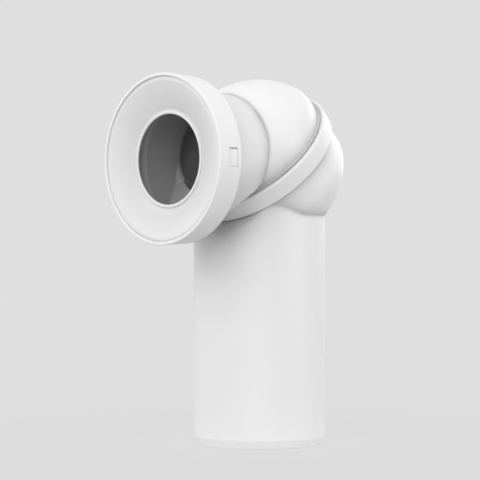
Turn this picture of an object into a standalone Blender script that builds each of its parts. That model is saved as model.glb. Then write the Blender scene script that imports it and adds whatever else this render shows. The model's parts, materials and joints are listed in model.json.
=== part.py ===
"""Swivel pan connector bend: two ball halves that turn on each other across a slanted plane.

Units are metres, +Z is up. The outlet pipe stands on the origin and the inlet faces -Y.
Heights called "along" are measured on the swivel axis from the joint centre, towards the inlet half.
Distances called "reach" are measured on the inlet axis from the joint centre, towards the mouth.
"""

import math

import bpy
from mathutils import Matrix

# Outlet pipe
PIPE_RADIUS = 0.0550
PIPE_WALL = 0.0034
PIPE_CHAMFER_LENGTH = 0.0070
PIPE_CHAMFER_DEPTH = 0.0020
AXIS_HEIGHT = 0.2335

# Ball halves
SWIVEL_TILT = math.radians(45.0)
SHELL_WALL = 0.0030
SOCKET_RADIUS = 0.0654
OUTLET_BULGE = 0.0028
OUTLET_BALL_DROP = 0.0037
OUTLET_SHOULDER = 0.0300
INLET_BULGE = 0.0058
INLET_DOME_RISE = 0.0003
INLET_SHOULDER = 0.0120

# Swivel joint
SEAT_GAP = 0.0003
TURN_GAP = 0.0004
COLLAR_BASE = -0.0017
COLLAR_HEIGHT = 0.0150
COLLAR_WALL = 0.0029
COLLAR_DRAFT = 0.0008
COLLAR_EDGE = 0.0007
SOCKET_STEP = 0.0004
SNAP_BEAD_HEIGHT = 0.0009
SNAP_BEAD_WIDTH = 0.0020
LIP_THICKNESS = 0.0014
RIM_RECESS = 0.0011
RIM_WALL = 0.0030
FLANGE_THICKNESS = 0.0022
FLANGE_TRAP = 0.0013
STOP_BEAD_HEIGHT = 0.0012
STOP_BEAD_WIDTH = 0.0015
NECK_GAP = 0.0075
ROOF_DROP = 0.0006
SPIGOT_DEPTH = 0.0120
SPIGOT_NOSE = 0.0028
SEAL_SECTION = 0.0032
GROOVE_WALL = 0.0022

# Inlet neck and seal cup
NECK_RADIUS = 0.0550
CUP_WALL = 0.0032
CUP_FLOOR = 0.0030

# Clamp ring
RING_RADIUS = 0.0686
RING_DEPTH = 0.0222
RING_CLEARANCE = 0.0022
RING_DRAFT = 0.0011
RING_WALL = 0.0026
RING_RIM = 0.0024
RING_EDGE = 0.0006
RIM_DEPTH = 0.0031
RIB_WIDTH = 0.0020
RIB_DEPTH = 0.0025
REAR_RECESS = 0.0011
WINDOW_COUNT = 4
WINDOW_WIDTH = 0.0146
WINDOW_LENGTH = 0.0097
WINDOW_MARGIN = 0.0020
LUG_GAP = 0.0004
LUG_SINK = 0.0006
LUG_RAMP = 0.0016

# Lip seal
MOUTH_RADIUS = 0.0362
DISH_DEPTH = 0.0075
LIP_WALL = 0.0028
LIP_BEAD = 0.0016
VALLEY_WIDTH = 0.0050
VALLEY_DEPTH = 0.0014
SEAL_RIM_GAP = 0.0016
SEAL_RECESS = 0.0011
SEAL_FLANGE = 0.0029
HEEL_LENGTH = 0.0080
HEEL_WALL = 0.0025

# Facets
TURN_STEPS = 56
ARC_STEPS = 8
FILLET_STEPS = 3
RING_STEPS = 8
SHARP_ANGLE = math.radians(32.0)

# Joint sizes that follow from the ones above
socket_bore = SOCKET_RADIUS - SHELL_WALL
socket_outer = SOCKET_RADIUS - SOCKET_STEP
collar_bore = socket_outer + SEAT_GAP
collar_foot_radius = collar_bore + COLLAR_WALL
collar_head_radius = collar_foot_radius + COLLAR_DRAFT
collar_top = COLLAR_BASE + COLLAR_HEIGHT
lip_top = collar_top - RIM_RECESS
lip_base = lip_top - LIP_THICKNESS
flange_top = lip_base - SEAT_GAP
flange_base = flange_top - FLANGE_THICKNESS
socket_top = flange_base - SEAT_GAP
flange_radius = collar_bore - SEAT_GAP
waist_radius = flange_radius - FLANGE_TRAP
outlet_ball_radius = SOCKET_RADIUS + OUTLET_BULGE
inlet_dome_radius = waist_radius + INLET_BULGE
spigot_radius = socket_bore - TURN_GAP
spigot_end = socket_top - SPIGOT_DEPTH
seal_radius = socket_bore - SEAT_GAP - SEAL_SECTION / 2
groove_floor = seal_radius - SEAL_SECTION / 2 - SEAT_GAP
groove_base = spigot_end + SPIGOT_NOSE
groove_top = groove_base + SEAL_SECTION + 2 * SEAT_GAP
spigot_bore = groove_floor - GROOVE_WALL
socket_foot = COLLAR_BASE - SEAT_GAP
pipe_roof = socket_foot - ROOF_DROP
neck_floor = collar_top + NECK_GAP

# Inlet sizes that follow from the ones above
ring_rear_radius = RING_RADIUS - RING_DRAFT
ring_lift = collar_top + RING_CLEARANCE
ring_rear = (ring_lift + ring_rear_radius * math.cos(SWIVEL_TILT)) / math.sin(SWIVEL_TILT)
ring_front = ring_rear + RING_DEPTH
ring_bore = ring_rear_radius - RING_WALL
rim_bore = RING_RADIUS - RING_RIM
cup_radius = ring_bore - SEAT_GAP
cup_bore = cup_radius - CUP_WALL
cup_rear = ring_rear + REAR_RECESS
neck_bore = NECK_RADIUS - SHELL_WALL
neck_corner = cup_rear * math.cos(SWIVEL_TILT) + NECK_RADIUS * math.sin(SWIVEL_TILT)
rib_front = ring_front - RIM_DEPTH
rib_rear = rib_front - RIB_WIDTH
flange_front = rib_rear - SEAT_GAP
flange_rear = flange_front - SEAL_FLANGE
cup_front = flange_rear - SEAT_GAP
rib_bore = ring_bore - RIB_DEPTH
seal_front = ring_front - SEAL_RECESS
mouth_reach = seal_front - DISH_DEPTH
seal_outer = rim_bore - SEAL_RIM_GAP
heel_outer = cup_bore - SEAT_GAP
heel_bore = heel_outer - HEEL_WALL

TO_SWIVEL = Matrix.Translation((0.0, 0.0, AXIS_HEIGHT)) @ Matrix.Rotation(SWIVEL_TILT, 4, "X")
SWIVEL_TO_INLET = Matrix.Rotation(math.radians(90.0) - SWIVEL_TILT, 4, "X")


# Scene and materials

def clear_scene():
    for old in list(bpy.data.objects):
        bpy.data.objects.remove(old, do_unlink=True)


def new_collection(name):
    collection = bpy.data.collections.new(name)
    bpy.context.scene.collection.children.link(collection)
    return collection


def plastic(name, colour, roughness):
    material = bpy.data.materials.new(name)
    material.use_nodes = True
    shader = material.node_tree.nodes["Principled BSDF"]
    shader.inputs["Base Color"].default_value = (*colour, 1.0)
    shader.inputs["Roughness"].default_value = roughness
    shader.inputs["Metallic"].default_value = 0.0
    return material


# Profiles, as (radius, height) points that run down the outer side

def arc(centre, radius, start, end, steps):
    """Points on a circle in the profile plane, from one angle to another, in degrees."""
    points = []
    for step in range(steps + 1):
        angle = math.radians(start + (end - start) * step / steps)
        points.append((centre[0] + radius * math.cos(angle), centre[1] + radius * math.sin(angle)))
    return points


def shoulder_and_cap(ball_radius, ball_height, waist, fillet, side):
    """A round shoulder from a straight waist into a ball, then the ball to its pole.

    side is +1 for a cap above the joint and -1 for one below it. Points run from waist to pole.
    """
    reach = math.sqrt((ball_radius - fillet) ** 2 - (waist - fillet) ** 2)
    turn = math.degrees(math.atan2(reach, waist - fillet))
    shoulder = arc((waist - fillet, ball_height + side * reach), fillet, 0.0, side * turn, FILLET_STEPS)
    cap = arc((0.0, ball_height), ball_radius, side * turn, side * 90.0, ARC_STEPS)
    return shoulder + cap[1:-1] + [(0.0, ball_height + side * ball_radius)]


def turned(name, profile, collection, placing):
    """A profile swept round its own Z axis into a closed body."""
    mesh = bpy.data.meshes.new(name)
    count = len(profile)
    solid = profile[0][0] == 0.0 and profile[-1][0] == 0.0
    edges = [(index, index + 1) for index in range(count - 1)]
    if not solid:
        edges.append((count - 1, 0))
    mesh.from_pydata([(radius, 0.0, height) for radius, height in profile], edges, [])
    body = bpy.data.objects.new(name, mesh)
    collection.objects.link(body)
    body.matrix_world = placing
    screw = body.modifiers.new("turn", "SCREW")
    screw.steps = TURN_STEPS
    screw.render_steps = TURN_STEPS
    screw.use_merge_vertices = True
    screw.merge_threshold = 0.00001
    screw.use_smooth_shade = True
    return body


def block(name, low, high, collection, placing):
    """A box between two corners, in the frame of its placing."""
    bpy.ops.mesh.primitive_cube_add(size=1.0)
    body = bpy.context.active_object
    body.name = name
    for vertex in body.data.vertices:
        for axis in range(3):
            vertex.co[axis] = low[axis] if vertex.co[axis] < 0.0 else high[axis]
    for old in list(body.users_collection):
        old.objects.unlink(body)
    collection.objects.link(body)
    body.matrix_world = placing
    return body


def combine(body, operation, tool):
    """Join or cut a body with a tool, which then stays out of the finished part."""
    boolean = body.modifiers.new(tool.name, "BOOLEAN")
    boolean.operation = operation
    boolean.object = tool
    boolean.solver = "EXACT"
    tool.hide_render = True
    tool.display_type = "WIRE"


def finish(body, material):
    """Fix the modifiers in the mesh, shade it smooth between its real edges and give it its material."""
    bpy.context.view_layer.update()
    graph = bpy.context.evaluated_depsgraph_get()
    mesh = bpy.data.meshes.new_from_object(body.evaluated_get(graph))
    mesh.name = body.name
    body.modifiers.clear()
    body.data = mesh
    mesh.shade_smooth()
    mesh.set_sharp_from_angle(angle=SHARP_ANGLE)
    mesh.materials.clear()
    mesh.materials.append(material)


# Sub-parts

def half_space(name, along, side, size, cutters):
    """A block beyond a plane square to the swivel axis, which reaches its size to every side."""
    low = along if side > 0 else along - 2 * size
    high = along + 2 * size if side > 0 else along
    return block(name, (-size, -size, low), (size, size, high), cutters, TO_SWIVEL)


def outlet_bend(parts, cutters, material):
    """Spigot pipe that runs up into the lower ball half, with the swivel socket on top."""
    chamfer_radius = PIPE_RADIUS - PIPE_CHAMFER_DEPTH
    pipe = turned("outlet_bend", [
        (0.0, AXIS_HEIGHT), (PIPE_RADIUS, AXIS_HEIGHT), (PIPE_RADIUS, PIPE_CHAMFER_LENGTH),
        (chamfer_radius, 0.0), (0.0, 0.0),
    ], parts, Matrix())
    combine(pipe, "DIFFERENCE", half_space("pipe_roof", pipe_roof, 1, AXIS_HEIGHT, cutters))

    bead = socket_outer + SNAP_BEAD_HEIGHT
    bead_middle = (COLLAR_BASE + socket_top) / 2
    bead_top = bead_middle + SNAP_BEAD_WIDTH / 2
    bead_base = bead_middle - SNAP_BEAD_WIDTH / 2
    ball = turned("outlet_ball", [
        (0.0, socket_top), (socket_outer, socket_top), (socket_outer, bead_top), (bead, bead_top),
        (bead, bead_base), (socket_outer, bead_base), (socket_outer, socket_foot),
        (SOCKET_RADIUS, socket_foot),
    ] + shoulder_and_cap(outlet_ball_radius, -OUTLET_BALL_DROP, SOCKET_RADIUS, OUTLET_SHOULDER, -1),
        cutters, TO_SWIVEL)
    combine(pipe, "UNION", ball)

    over = socket_top + SHELL_WALL
    chamber = turned("outlet_chamber", [(0.0, over), (socket_bore, over)] + shoulder_and_cap(
        outlet_ball_radius - SHELL_WALL, -OUTLET_BALL_DROP, socket_bore, OUTLET_SHOULDER - SHELL_WALL, -1),
        cutters, TO_SWIVEL)

    bore_radius = PIPE_RADIUS - PIPE_WALL
    bore = turned("outlet_bore", [
        (0.0, AXIS_HEIGHT), (bore_radius, AXIS_HEIGHT), (bore_radius, -PIPE_RADIUS), (0.0, -PIPE_RADIUS),
    ], cutters, Matrix())
    bore_roof = pipe_roof - SHELL_WALL
    combine(bore, "DIFFERENCE", half_space("bore_roof", bore_roof, 1, AXIS_HEIGHT, cutters))
    combine(chamber, "UNION", bore)
    combine(pipe, "DIFFERENCE", chamber)
    finish(pipe, material)


def swivel_collar(parts, material):
    """Band that snaps over the socket and holds the inlet flange down with its lip."""
    groove = collar_bore + SNAP_BEAD_HEIGHT
    bead_middle = (COLLAR_BASE + socket_top) / 2
    groove_high = bead_middle + SNAP_BEAD_WIDTH / 2 + SEAT_GAP
    groove_low = bead_middle - SNAP_BEAD_WIDTH / 2 - SEAT_GAP
    rim_inner = collar_head_radius - RIM_WALL
    lip_bore = waist_radius + TURN_GAP
    collar = turned("swivel_collar", [
        (collar_head_radius - COLLAR_EDGE, collar_top), (collar_head_radius, collar_top - COLLAR_EDGE),
        (collar_foot_radius, COLLAR_BASE + COLLAR_EDGE), (collar_foot_radius - COLLAR_EDGE, COLLAR_BASE),
        (collar_bore, COLLAR_BASE), (collar_bore, groove_low), (groove, groove_low), (groove, groove_high),
        (collar_bore, groove_high), (collar_bore, lip_base), (lip_bore, lip_base), (lip_bore, lip_top),
        (rim_inner, lip_top), (rim_inner, collar_top),
    ], parts, TO_SWIVEL)
    finish(collar, material)


def swivel_seal(parts, pivot, material):
    """Rubber ring in the spigot's groove."""
    middle = (groove_base + groove_top) / 2
    section = arc((seal_radius, middle), SEAL_SECTION / 2, 90.0, -270.0, RING_STEPS)
    seal = turned("swivel_seal", section[:-1], parts, TO_SWIVEL)
    finish(seal, material)
    hang(seal, pivot)


def snap_lugs(neck, cutters, to_inlet):
    """Wedges on the cup that catch in the clamp ring's windows, steep behind and sloped in front."""
    rear = ring_rear + WINDOW_MARGIN + LUG_GAP
    front = ring_rear + WINDOW_MARGIN + WINDOW_LENGTH - LUG_GAP
    half = WINDOW_WIDTH / 2 - LUG_GAP
    crest = math.sqrt((ring_rear_radius - LUG_SINK) ** 2 - half ** 2)
    root = cup_radius - CUP_WALL / 2
    for index in range(WINDOW_COUNT):
        turn = Matrix.Rotation(2 * math.pi * index / WINDOW_COUNT, 4, "Z")
        lug = block(f"lug_{index}", (root, -half, rear), (crest, half, front), cutters, to_inlet @ turn)
        for vertex in lug.data.vertices:
            if vertex.co.x > root and vertex.co.z > rear:
                vertex.co.x = crest - LUG_RAMP
        combine(neck, "UNION", lug)


def inlet_bend(parts, cutters, pivot, material):
    """Upper dome half with its spigot below and the neck and seal cup in front."""
    to_inlet = TO_SWIVEL @ SWIVEL_TO_INLET
    bead = waist_radius + STOP_BEAD_HEIGHT
    bead_base = collar_top + STOP_BEAD_WIDTH / 2
    bead_top = bead_base + STOP_BEAD_WIDTH
    cap = shoulder_and_cap(inlet_dome_radius, INLET_DOME_RISE, waist_radius, INLET_SHOULDER, 1)
    dome = turned("inlet_bend", cap[::-1] + [
        (waist_radius, bead_top), (bead, bead_top - STOP_BEAD_WIDTH / 3),
        (bead, bead_base + STOP_BEAD_WIDTH / 3), (waist_radius, bead_base),
        (waist_radius, flange_top), (flange_radius, flange_top),
        (flange_radius, flange_base), (spigot_radius, flange_base), (spigot_radius, groove_top),
        (groove_floor, groove_top), (groove_floor, groove_base), (spigot_radius, groove_base),
        (spigot_radius, spigot_end), (0.0, spigot_end),
    ], parts, TO_SWIVEL)

    neck = turned("inlet_neck", [
        (0.0, cup_front), (cup_radius, cup_front), (cup_radius, cup_rear), (NECK_RADIUS, cup_rear),
        (NECK_RADIUS, 0.0), (0.0, 0.0),
    ], cutters, to_inlet)
    snap_lugs(neck, cutters, to_inlet)
    combine(neck, "DIFFERENCE", half_space("neck_floor", neck_floor, -1, neck_corner, cutters))
    combine(dome, "UNION", neck)

    inner_waist = waist_radius - SHELL_WALL
    inner_cap = shoulder_and_cap(inlet_dome_radius - SHELL_WALL, INLET_DOME_RISE, inner_waist,
                                 INLET_SHOULDER - SHELL_WALL, 1)
    upper_bore = spigot_radius - SHELL_WALL
    throat = groove_top + GROOVE_WALL
    chamber = turned("inlet_chamber", inner_cap[::-1] + [
        (inner_waist, neck_floor + SHELL_WALL), (upper_bore, neck_floor),
        (upper_bore, throat + upper_bore - spigot_bore), (spigot_bore, throat),
        (spigot_bore, spigot_end - SHELL_WALL), (0.0, spigot_end - SHELL_WALL),
    ], cutters, TO_SWIVEL)
    combine(dome, "DIFFERENCE", chamber)

    cup_floor = cup_rear + CUP_FLOOR
    beyond = cup_front + CUP_WALL
    bore = turned("inlet_bore", [
        (0.0, beyond), (cup_bore, beyond), (cup_bore, cup_floor), (neck_bore, cup_floor), (neck_bore, 0.0),
        (0.0, 0.0),
    ], cutters, to_inlet)
    bore_floor = neck_floor + SHELL_WALL
    combine(bore, "DIFFERENCE", half_space("bore_floor", bore_floor, -1, neck_corner, cutters))
    combine(dome, "DIFFERENCE", bore)
    finish(dome, material)
    hang(dome, pivot)


def lip_seal(parts, pivot, material):
    """Soft dished seal: a rim that the clamp ring grips, a sloped face and a beaded mouth."""
    bead_centre = (MOUTH_RADIUS + LIP_BEAD, mouth_reach)
    face_foot = MOUTH_RADIUS + 2 * LIP_BEAD + VALLEY_WIDTH
    face_low = mouth_reach - VALLEY_DEPTH / 2
    face_edge = rib_bore - SEAT_GAP
    face_high = rib_front + SEAT_GAP
    lip_floor = mouth_reach - VALLEY_DEPTH
    valley = (MOUTH_RADIUS + 2 * LIP_BEAD + VALLEY_WIDTH / 3, lip_floor)
    heel_end = cup_front - HEEL_LENGTH
    bevel = seal_front - face_high
    bead = arc(bead_centre, LIP_BEAD, 30.0, 240.0, 5)
    seal = turned("lip_seal", [
        (seal_outer - bevel / 2, seal_front), (seal_outer, seal_front - bevel / 2), (seal_outer, face_high),
        (face_edge, face_high), (face_edge, flange_front), (cup_radius, flange_front),
        (cup_radius, flange_rear), (heel_outer, flange_rear), (heel_outer, heel_end),
        (heel_bore, heel_end), (heel_bore, flange_rear),
        (face_foot, face_low - LIP_WALL), (valley[0], lip_floor - LIP_WALL),
    ] + bead[::-1] + [
        valley, (face_foot, face_low), (face_edge, seal_front),
    ], parts, TO_SWIVEL @ SWIVEL_TO_INLET)
    finish(seal, material)
    hang(seal, pivot)


def clamp_ring(parts, cutters, pivot, material):
    """Ring over the seal cup, with a rib in the seal's groove and a window for each lug."""
    to_inlet = TO_SWIVEL @ SWIVEL_TO_INLET
    ring = turned("clamp_ring", [
        (RING_RADIUS - RING_EDGE, ring_front), (RING_RADIUS, ring_front - RING_EDGE),
        (ring_rear_radius, ring_rear + RING_EDGE), (ring_rear_radius - RING_EDGE, ring_rear),
        (ring_bore, ring_rear), (ring_bore, rib_rear), (rib_bore, rib_rear), (rib_bore, rib_front),
        (rim_bore, rib_front), (rim_bore, ring_front - RING_EDGE / 2),
        (rim_bore + RING_EDGE / 2, ring_front),
    ], parts, to_inlet)
    low = ring_rear + WINDOW_MARGIN
    high = low + WINDOW_LENGTH
    half = WINDOW_WIDTH / 2
    outside = RING_RADIUS + RING_WALL
    for index in range(WINDOW_COUNT):
        turn = Matrix.Rotation(2 * math.pi * index / WINDOW_COUNT, 4, "Z")
        window = block(f"window_{index}", (cup_bore, -half, low), (outside, half, high), cutters,
                       to_inlet @ turn)
        combine(ring, "DIFFERENCE", window)
    finish(ring, material)
    hang(ring, pivot)


def hang(body, pivot):
    """Parent a turning piece to the pivot and keep it in place."""
    body.parent = pivot
    body.matrix_parent_inverse = pivot.matrix_world.inverted()


def main():
    clear_scene()
    parts = new_collection("swivel_pan_connector")
    cutters = new_collection("cutters")
    pivot = bpy.data.objects.new("swivel_pivot", None)
    parts.objects.link(pivot)
    pivot.matrix_world = TO_SWIVEL
    bpy.context.view_layer.update()

    white = plastic("white_plastic", (0.86, 0.86, 0.86), 0.38)
    band = plastic("collar_plastic", (0.84, 0.84, 0.84), 0.40)
    ring_white = plastic("ring_plastic", (0.87, 0.87, 0.87), 0.36)
    dome_white = plastic("dome_plastic", (0.86, 0.86, 0.86), 0.36)
    soft = plastic("lip_rubber", (0.80, 0.80, 0.80), 0.55)
    black = plastic("seal_rubber", (0.03, 0.03, 0.03), 0.60)

    outlet_bend(parts, cutters, white)
    swivel_collar(parts, band)
    inlet_bend(parts, cutters, pivot, dome_white)
    swivel_seal(parts, pivot, black)
    lip_seal(parts, pivot, soft)
    clamp_ring(parts, cutters, pivot, ring_white)


main()
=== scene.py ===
"""Looks of the swivel pan connector bend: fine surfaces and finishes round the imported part.

Units are metres. Turned pieces are profiles of (radius, along) points carried round an axis, and each
bend half is a skin that blends a tube with a ball. Places on the pieces are measured from the joint
centre, and those of camera and lamps from the part's origin.
"""

import json
import math

import bpy
import numpy as np
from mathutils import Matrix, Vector


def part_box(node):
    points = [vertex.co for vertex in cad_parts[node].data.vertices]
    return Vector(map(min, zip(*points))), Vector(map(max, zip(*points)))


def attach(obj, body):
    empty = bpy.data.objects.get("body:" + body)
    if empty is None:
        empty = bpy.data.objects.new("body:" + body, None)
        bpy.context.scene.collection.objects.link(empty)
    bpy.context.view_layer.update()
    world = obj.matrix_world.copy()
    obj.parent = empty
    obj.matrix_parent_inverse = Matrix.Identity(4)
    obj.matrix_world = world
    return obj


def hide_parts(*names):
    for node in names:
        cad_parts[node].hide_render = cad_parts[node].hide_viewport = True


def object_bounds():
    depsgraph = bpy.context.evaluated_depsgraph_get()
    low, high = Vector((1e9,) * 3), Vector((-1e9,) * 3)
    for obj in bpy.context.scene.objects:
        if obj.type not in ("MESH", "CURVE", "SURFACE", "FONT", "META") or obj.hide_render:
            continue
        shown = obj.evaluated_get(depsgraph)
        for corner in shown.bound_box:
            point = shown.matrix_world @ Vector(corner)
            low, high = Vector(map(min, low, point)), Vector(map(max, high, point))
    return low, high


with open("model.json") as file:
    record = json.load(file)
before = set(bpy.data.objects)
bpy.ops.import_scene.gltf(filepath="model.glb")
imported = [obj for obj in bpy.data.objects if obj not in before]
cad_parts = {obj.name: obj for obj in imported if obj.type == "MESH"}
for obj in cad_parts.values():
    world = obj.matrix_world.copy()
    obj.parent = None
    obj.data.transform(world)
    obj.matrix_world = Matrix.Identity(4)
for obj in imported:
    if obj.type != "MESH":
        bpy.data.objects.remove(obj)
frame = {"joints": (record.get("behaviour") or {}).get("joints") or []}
cad_low, cad_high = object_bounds()

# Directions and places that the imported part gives
joint = frame["joints"][0]
CENTRE = np.array(joint["pos_m"])
SWIVEL = np.array(joint["axis"])
ACROSS = np.array((1.0, 0.0, 0.0))
DOWN = np.array((0.0, 0.0, -1.0))
FORWARD = np.array((0.0, -1.0, 0.0))
SLOPE = np.cross(SWIVEL, ACROSS)
ROOT2 = math.sqrt(2.0)

ring_low, ring_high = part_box("clamp_ring")
RING_RADIUS = ring_high.x
RING_FRONT = CENTRE[1] - ring_low.y
RING_REAR = CENTRE[1] - ring_high.y
SEAL_FRONT = CENTRE[1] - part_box("lip_seal")[0].y
PIPE_END = CENTRE[2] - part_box("outlet_bend")[0].z

# Gaps between pieces: at a seat, and round what turns
SEAT_GAP = 0.0003
TURN_GAP = 0.0004

# Bend halves. A ball is (radius, middle, waist, fillet, squash), with its middle along the swivel axis
# in the half's own direction, towards the other half. Its chamber is one wall further in.
PIPE_RADIUS = 0.0550
PIPE_WALL = 0.0034
PIPE_BORE = PIPE_RADIUS - PIPE_WALL
CHAMFER_LENGTH = 0.0070
CHAMFER_DEPTH = 0.0020
NECK_RADIUS = 0.0550
WALL = 0.0030
BALL_WALL = np.array((WALL, 0.0, WALL, WALL, 0.0))
OUTLET_BALL = np.array((0.0692, -0.0037, 0.0654, 0.0300, 0.950))
OUTLET_CHAMBER = OUTLET_BALL - BALL_WALL
INLET_BALL = np.array((0.0695, -0.0003, 0.0637, 0.0300, 1.0))
INLET_CHAMBER = INLET_BALL - BALL_WALL

# Trim of the neck's lower end, rib in the throat with the places where it starts, is full, falls and
# ends, and half widths of the creases between tube and ball
NECK_FLARE = 0.0060
NECK_FLARE_START = math.radians(25.0)
NECK_FLARE_SPAN = math.radians(45.0)
THROAT_RIB = 0.0020
THROAT_RIB_PLACE = (0.0450, 0.0795, 0.0815, 0.0850)
OUTLET_CREASE = 0.0009
INLET_CREASE = 0.0008
THROAT_CREASE = 0.0025

# Swivel joint, along its axis from the joint centre. The inlet half's floor and ledge are in that
# half's own direction, which runs the other way.
OUTLET_FLOOR = -0.0026
OUTLET_LEDGE = OUTLET_FLOOR - WALL
INLET_FLOOR = -0.0208
INLET_LEDGE = -0.0224
WAIST = INLET_BALL[2]
STOP_BEAD = 0.0018
STOP_BEAD_PLACE = (0.0135, 0.0153)
SPIGOT_RADIUS = 0.0620
SPIGOT_BORE = 0.0564
SPIGOT_END = -0.0040
CONE_FOOT = 0.0044
SOCKET_OUTER = 0.0650
SOCKET_BORE = SPIGOT_RADIUS + TURN_GAP
SOCKET_TOP = 0.0080
SNAP_BEAD = 0.0009
SNAP_BEAD_PLACE = (0.00215, 0.00415)
FLANGE_RADIUS = 0.0650
FLANGE_TOP = 0.0105
FLANGE_BASE = SOCKET_TOP + SEAT_GAP
COLLAR_BASE = -0.0017
COLLAR_TOP = 0.0133
COLLAR_BORE = SOCKET_OUTER + SEAT_GAP
COLLAR_FOOT = 0.0682
COLLAR_HEAD = 0.0690
COLLAR_RIM = 0.0029
LIP_TOP = 0.0131
LIP_BASE = FLANGE_TOP + SEAT_GAP
LIP_BORE = WAIST + TURN_GAP
GROOVE_FLOOR = 0.0586
GROOVE_TOP = 0.0026
GROOVE_BASE = -0.0012
SEAL_RING_RADIUS = (GROOVE_FLOOR + SOCKET_BORE) / 2
SEAL_SECTION = SOCKET_BORE - GROOVE_FLOOR - 2 * SEAT_GAP
SEAL_ROUNDNESS = 0.95

# Seal cup, clamp ring and lip seal, as reach along the inlet axis
RING_SKIRT = 0.0020
RING_TAIL = RING_REAR - RING_SKIRT
RING_DRAFT = 0.0011
RING_WALL = 0.0026
RING_RIM = 0.0024
RIM_DEPTH = 0.0031
RIB_WIDTH = 0.0020
RIB_DEPTH = 0.0025
CUP_RECESS = 0.0011
CUP_REAR = RING_REAR + CUP_RECESS
CUP_SETBACK = 0.0086
CUP_FRONT = RING_FRONT - CUP_SETBACK
CUP_RADIUS = 0.0646
CUP_WALL = 0.0032
CUP_BORE = CUP_RADIUS - CUP_WALL
CUP_FLOOR = 0.0030
WINDOW_COUNT = 4
WINDOW_WIDTH = 0.0146
WINDOW_LENGTH = 0.0097
WINDOW_MARGIN = 0.0020
LUG_GAP = 0.0005
LUG_SLOT = 0.0009
LUG_TOUCH = 0.0001
LUG_FOOT = 0.0003
LUG_SINK = 0.0002
LUG_RAMP = 0.0018
MOUTH_RADIUS = 0.0362
DISH_DEPTH = 0.0075
LIP_WALL = 0.0028
LIP_BEAD = 0.0012
BEAD_FOOT = 0.0006
VALLEY_WIDTH = 0.0052
VALLEY_DEPTH = 0.0008
VALLEY_SLOPE = 0.0020
SEAL_RIM_GAP = 0.0010
SEAL_RIM_STEP = 0.0004
RIM_TOUCH = 0.0001
SEAL_FLAT = 0.0024
SEAL_FLANGE = 0.0029
HEEL_LENGTH = 0.0080
HEEL_WALL = 0.0025

# Edge rounding: six common radii, and then those of particular edges
HAIR = 0.0002
FINE = 0.0003
SLIGHT = 0.0004
PLAIN = 0.0005
SOFT = 0.0006
FULL = 0.0008
CHAMFER_BLEND = 0.0060
COLLAR_ROUND = 0.0013
SPIGOT_NOSE = 0.0009
SPIGOT_MOUTH = 0.0012
CONE_BLEND = 0.0200
RING_ROUND = 0.0007
LUG_EDGE = 0.0005
HEEL_ROOT = 0.0012
LIP_BACK_ROUND = 0.0020
BEAD_UNDERSIDE = 0.0012
BEAD_ROUND = 0.0010
VALLEY_BLEND = 0.0060

# Painted shade in the crevices, a darkening of the colour where shadow falls: its spread on the tube,
# on the ball and from the collar, its share at the tube's tip, and the collar's edge in the half's own
# direction along the axis
OUTLET_SHADE_SPREAD = (0.0010, 0.0020, 0.0040, 0.0, COLLAR_BASE)
INLET_SHADE_SPREAD = (0.0030, 0.0006, 0.0050, 0.28, -COLLAR_TOP)

# Reach of the painted shade from the neck's tip, which stands in for the clamp ring's shadow on the
# neck, and shares of painted shade on a tube beside the collar and in the seal's valley
NECK_SHADE_REACH = 0.045
TUBE_PAINTED_SHADE = 0.7
VALLEY_PAINTED_SHADE = 0.22

# Fineness of the grids
COLUMNS = 256
SKIN_ROWS = 100
ROLL_ROWS = 10
ROLL_LENGTH = 0.0040
WINDOW_COLUMNS = 10
PLAIN_COLUMNS = 50
FILLET_STEPS = 5
BISECTIONS = 40
SHARP_ANGLE = math.radians(40.0)
SUPPORT = 0.0003
SUPPORT_SHARE = 0.25

# Noise patterns of the finishes, as (scale per metre, detail) and, for the draw lines, a stretch
MOTTLE = (38.0, 3.0)
SCUFFS = (160.0, 5.0)
DRAW_LINES = (900.0, 2.0, (1.0, 1.0, 0.012))
GRAIN_DETAIL = 2.0
NOISE_MEAN = 0.5

# Shares of its own grey that a surface shows where it is mottled, rubbed and darkened by painted shade in
# its crevices, the grey of a bore, which is painted shade inside the white mouldings, the roughness that
# rubbing adds, and the strength of the relief
MOTTLE_SHADE = 0.965
WORN_SHADE = 1.04
PAINTED_SHADE_GREY = 0.50
# The bore's grey is painted shade: a darker grey inside the white mouldings and the seal's throat, where
# little light reaches
BORE_SHADE_GREY = 0.48
RUBBED_ROUGHNESS = 0.1
RELIEF_STRENGTH = 0.35

# Finishes: grey, roughness and its swing, grain per metre, depth of the relief, share of draw lines
FINISHES = {
    "outlet_white": (0.84, 0.36, 0.10, 2400.0, 0.00002, 0.6),
    "dome_white": (0.85, 0.34, 0.10, 2400.0, 0.00002, 0.0),
    "collar_white": (0.83, 0.38, 0.10, 2600.0, 0.00002, 0.0),
    "ring_white": (0.86, 0.36, 0.10, 2600.0, 0.00002, 0.0),
    "seal_soft": (0.78, 0.58, 0.12, 1800.0, 0.00004, 0.0),
    "ring_rubber": (0.03, 0.60, 0.12, 1800.0, 0.00004, 0.0),
}

# Camera and background, from the photograph's perspective
CAMERA_PLACE = (1.09803, -1.10796, 0.16916)
CAMERA_LOOK = (-0.71122, 0.70297, 0.0)
CAMERA_LENS = 139.97
CAMERA_FAR = 100.0
SENSOR_WIDTH = 36.0
BACKGROUND = 0.737

# Floor: its size and gap below the pipe, its grey far off and under the object, and the share of its
# shading that the eye sees, which fades out between two distances
FLOOR_RADIUS = 40.0
FLOOR_SIDES = 96
FLOOR_GAP = 0.0002
FLOOR_GREY = 0.39
NEAR_GREY = 0.75
NEAR_REACH = 0.14
SHADOW_SHARE = 0.07
SHADOW_FADE = (0.15, 0.55)

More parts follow.
